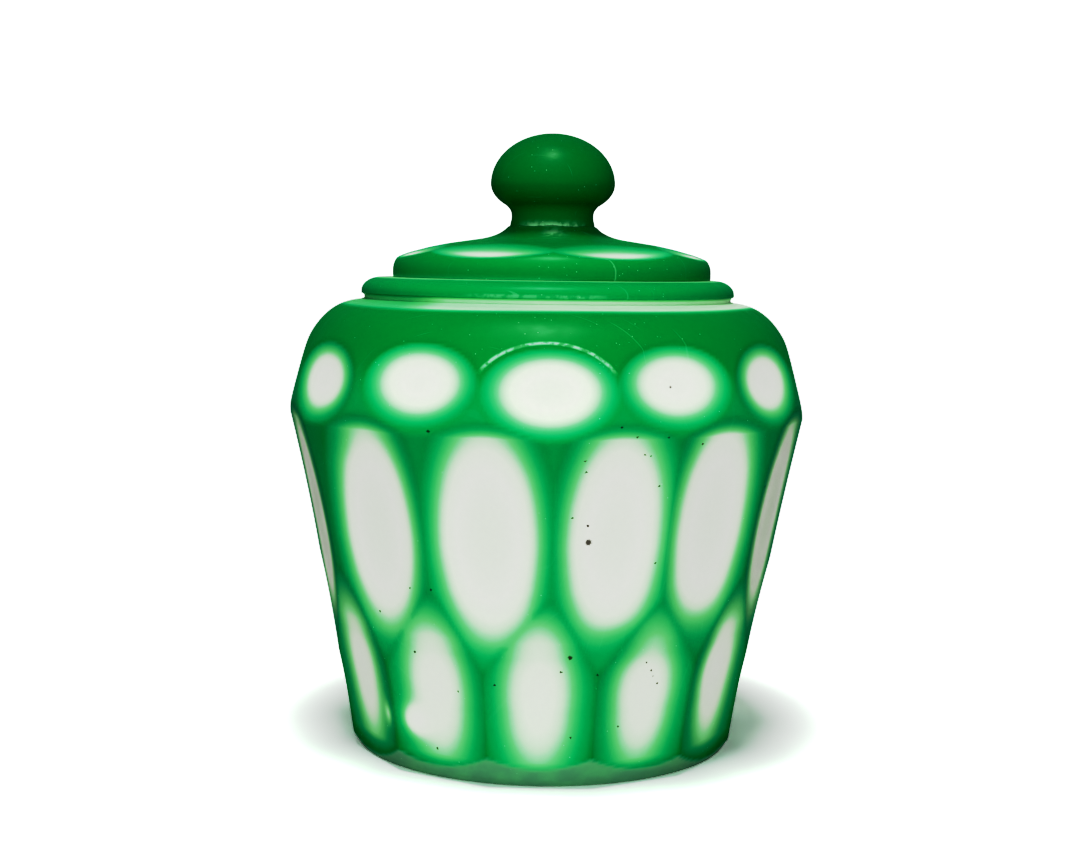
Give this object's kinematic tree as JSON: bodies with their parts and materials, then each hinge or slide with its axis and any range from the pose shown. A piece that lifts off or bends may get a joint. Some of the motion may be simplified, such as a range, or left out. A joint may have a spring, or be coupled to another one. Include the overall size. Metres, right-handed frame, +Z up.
{
  "type": "overlay glass lidded jar",
  "caption": "Hollow lidded jar of opaque white glass under green overlay glass, with rows of flat wheel-cut ovals round the side and a lift-off lid with a round knob.",
  "frame": {"origin": "centre of the flat underside, at floor level", "axes": "+Z up along the jar's axis towards the knob; the front, where one shoulder cut and one foot cut face out, looks along -Y"},
  "size_m": [0.1206, 0.1206, 0.1432],
  "materials": {
    "overlay_glass": "opaque white glass cased in polished translucent green, cut through to the white in ovals, lightly worn",
    "overlay_glass_lid": "opaque white glass cased in polished deep green, lightly worn"
  },
  "bodies": {
    "root": {"jar": "overlay_glass", "lid": "overlay_glass_lid"}
  },
  "joints": []
}
